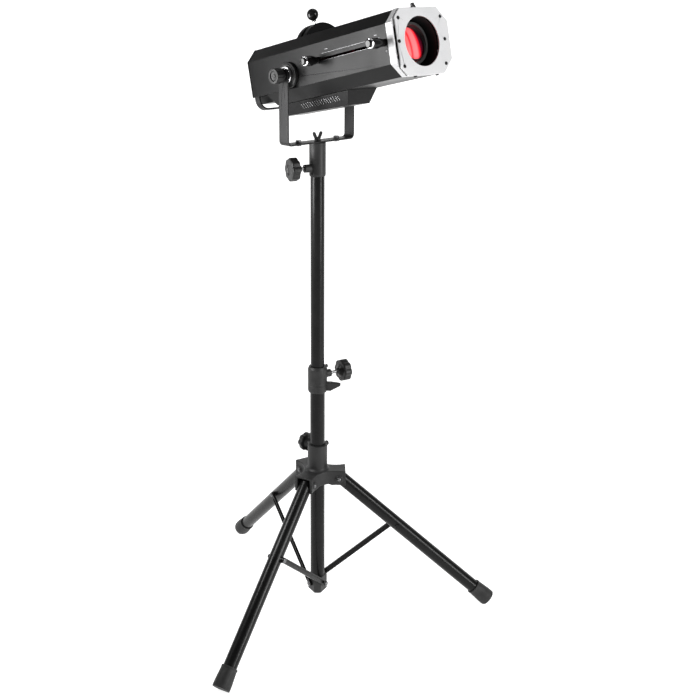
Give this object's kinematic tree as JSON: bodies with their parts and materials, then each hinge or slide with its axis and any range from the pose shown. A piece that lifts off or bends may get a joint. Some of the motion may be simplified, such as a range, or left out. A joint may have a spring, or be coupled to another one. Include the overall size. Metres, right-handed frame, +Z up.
{
  "type": "followspot on tripod stand",
  "caption": "Long octagonal followspot lamp head with sliding zoom and focus knobs and a colour lever, on a yoke and a folding tripod stand.",
  "frame": {"origin": "on the axis of the column, at floor level", "axes": "+Z up along the column, -Y the direction that the lamp head points in at rest"},
  "size_m": [0.8258, 0.8246, 1.601],
  "materials": {
    "housing_paint": "satin black powder coat",
    "stand_paint": "semi-gloss black",
    "silver_paint": "fine silver metallic paint",
    "black_plastic": "matt moulded black",
    "knob_plastic": "satin moulded black",
    "foot_rubber": "matt",
    "bolt_steel": "black zinc with bright edges",
    "bright_steel": "polished",
    "bare_aluminium": "milled",
    "dark_steel": "blackened",
    "lens_glass": "coated",
    "board": "solder mask"
  },
  "bodies": {
    "stand": {"lower_tube": "stand_paint", "bottom_bracket": "black_plastic", "brace_pins": "bolt_steel", "mid_collar": "black_plastic", "lock_pin": "bolt_steel", "lock_finger": "black_plastic"},
    "hub": {"hub": "black_plastic", "hub_bushing": "black_plastic", "leg_bolts": "bolt_steel"},
    "hub_clamp": {"hub_knob": "knob_plastic"},
    "leg_1": {"leg_tube_1": "stand_paint", "foot_cap_1": "foot_rubber"},
    "stay_1": {"brace_1": "stand_paint", "brace_rivets_1": "bolt_steel"},
    "leg_2": {"leg_tube_2": "stand_paint", "foot_cap_2": "foot_rubber"},
    "stay_2": {"brace_2": "stand_paint", "brace_rivets_2": "bolt_steel"},
    "leg_3": {"leg_tube_3": "stand_paint", "foot_cap_3": "foot_rubber"},
    "stay_3": {"brace_3": "stand_paint", "brace_rivets_3": "bolt_steel"},
    "mast": {"mast_tube": "stand_paint", "mast_plug": "black_plastic"},
    "collar_clamp": {"collar_knob": "knob_plastic"},
    "turntable": {"top_socket": "black_plastic", "yoke": "dark_steel", "yoke_bolts": "bolt_steel", "yoke_washers": "bright_steel"},
    "socket_clamp": {"socket_knob": "knob_plastic"},
    "wing": {"wing_nut": "dark_steel"},
    "tilt_clamp_near": {"tilt_knob_near": "knob_plastic"},
    "tilt_clamp_far": {"tilt_knob_far": "knob_plastic"},
    "head": {"housing_upper": "housing_paint", "housing_lower": "housing_paint", "friction_discs": "black_plastic", "rear_panel": "housing_paint", "front_collar": "silver_paint", "front_plate": "silver_paint", "front_screws": "dark_steel", "lens_barrel": "dark_steel", "guide_rods": "bright_steel", "gate_plate": "bare_aluminium", "wheel_cover": "housing_paint", "led_engine": "bare_aluminium", "fan_frame": "black_plastic", "driver_box": "housing_paint", "driver_board": "board", "rear_handle": "dark_steel", "power_inlet": "black_plastic"},
    "gate_screw": {"thumb_screw": "bolt_steel"},
    "zoom": {"zoom_carriage": "black_plastic", "zoom_lens": "lens_glass"},
    "zoom_clamp": {"zoom_knob": "knob_plastic"},
    "focus": {"focus_carriage": "black_plastic", "focus_lens": "lens_glass"},
    "focus_clamp": {"focus_knob": "knob_plastic"},
    "wheel": {"colour_wheel": "dark_steel"},
    "fan": {"fan_rotor": "black_plastic"},
    "rocker": {"power_switch": "knob_plastic"}
  },
  "joints": [
    {"name": "tripod_fold", "type": "slide", "parent": "stand", "child": "hub", "axis": [0, 0, 1], "range_m": [0, 0.145]},
    {"name": "leg_fold_1", "type": "hinge", "parent": "hub", "child": "leg_1", "pos_m": [0.04236, -0.03814, 0.38], "axis": [0.6691, 0.7431, 0], "range_deg": [-0.5, 35.59]},
    {"name": "stay_fold_1", "type": "hinge", "parent": "stand", "child": "stay_1", "pos_m": [0, 0, 0.065], "axis": [-0.6691, -0.7431, 0], "range_deg": [-0.5, 28.91]},
    {"name": "leg_fold_2", "type": "hinge", "parent": "hub", "child": "leg_2", "pos_m": [0.01185, 0.05575, 0.38], "axis": [-0.9781, 0.2079, 0], "range_deg": [-0.5, 35.59]},
    {"name": "stay_fold_2", "type": "hinge", "parent": "stand", "child": "stay_2", "pos_m": [0, 0, 0.065], "axis": [0.9781, -0.2079, 0], "range_deg": [-0.5, 28.91]},
    {"name": "leg_fold_3", "type": "hinge", "parent": "hub", "child": "leg_3", "pos_m": [-0.05421, -0.01761, 0.38], "axis": [0.309, -0.9511, 0], "range_deg": [-0.5, 35.59]},
    {"name": "stay_fold_3", "type": "hinge", "parent": "stand", "child": "stay_3", "pos_m": [0, 0, 0.065], "axis": [-0.309, 0.9511, 0], "range_deg": [-0.5, 28.91]},
    {"name": "hub_clamp_turn", "type": "hinge", "parent": "hub", "child": "hub_clamp", "pos_m": [0.00832, 0.03913, 0.458], "axis": [0.2079, 0.9781, 0], "continuous": true},
    {"name": "mast_extend", "type": "slide", "parent": "stand", "child": "mast", "axis": [0, 0, 1], "range_m": [-0.46, 0.06]},
    {"name": "collar_clamp_turn", "type": "hinge", "parent": "stand", "child": "collar_clamp", "pos_m": [0.03927, -0.00763, 0.664], "axis": [0.9816, -0.1908, 0], "continuous": true},
    {"name": "pan", "type": "hinge", "parent": "mast", "child": "turntable", "pos_m": [0, 0, 1.25], "axis": [0, 0, 1], "continuous": true},
    {"name": "socket_clamp_turn", "type": "hinge", "parent": "turntable", "child": "socket_clamp", "pos_m": [-0.03804, 0.01236, 1.204], "axis": [-0.9511, 0.309, 0], "continuous": true},
    {"name": "wing_nut_turn", "type": "hinge", "parent": "turntable", "child": "wing", "pos_m": [0, 0, 1.28], "axis": [0, 0, 1], "continuous": true},
    {"name": "tilt", "type": "hinge", "parent": "turntable", "child": "head", "pos_m": [0, 0, 1.432], "axis": [-1, 0, 0], "range_deg": [-45, 38]},
    {"name": "tilt_clamp_near_turn", "type": "hinge", "parent": "turntable", "child": "tilt_clamp_near", "pos_m": [-0.12, 0, 1.432], "axis": [-1, 0, 0], "continuous": true},
    {"name": "tilt_clamp_far_turn", "type": "hinge", "parent": "turntable", "child": "tilt_clamp_far", "pos_m": [0.12, 0, 1.432], "axis": [1, 0, 0], "continuous": true},
    {"name": "gate_screw_turn", "type": "hinge", "parent": "head", "child": "gate_screw", "pos_m": [0, -0.31103, 1.57958], "axis": [0, 0.2215, 0.9751], "continuous": true},
    {"name": "zoom_slide", "type": "slide", "parent": "head", "child": "zoom", "axis": [0, -0.9751, 0.2215], "range_m": [0, 0.08]},
    {"name": "zoom_clamp_turn", "type": "hinge", "parent": "zoom", "child": "zoom_clamp", "pos_m": [-0.1, -0.09885, 1.47087], "axis": [-1, 0, 0], "continuous": true},
    {"name": "focus_slide", "type": "slide", "parent": "head", "child": "focus", "axis": [0, -0.9751, 0.2215], "range_m": [-0.09, 0]},
    {"name": "focus_clamp_turn", "type": "hinge", "parent": "focus", "child": "focus_clamp", "pos_m": [-0.1, -0.30655, 1.51805], "axis": [-1, 0, 0], "continuous": true},
    {"name": "colour_change", "type": "hinge", "parent": "head", "child": "wheel", "pos_m": [0, -0.01463, 1.48045], "axis": [0, 0.9751, -0.2215], "range_deg": [-40, 40]},
    {"name": "fan_spin", "type": "hinge", "parent": "head", "child": "fan", "pos_m": [0, 0.13322, 1.41353], "axis": [0, 0.9751, -0.2215], "continuous": true},
    {"name": "power_rocker", "type": "hinge", "parent": "head", "child": "rocker", "pos_m": [0.049, 0.13682, 1.36708], "axis": [1, 0, 0], "range_deg": [0, 12]}
  ],
  "couplings": [
    {"joint": "leg_fold_1", "follows": "tripod_fold", "rad_per_m": 4.224},
    {"joint": "stay_fold_1", "follows": "tripod_fold", "rad_per_m": 3.4202},
    {"joint": "leg_fold_2", "follows": "tripod_fold", "rad_per_m": 4.224},
    {"joint": "stay_fold_2", "follows": "tripod_fold", "rad_per_m": 3.4202},
    {"joint": "leg_fold_3", "follows": "tripod_fold", "rad_per_m": 4.224},
    {"joint": "stay_fold_3", "follows": "tripod_fold", "rad_per_m": 3.4202}
  ]
}
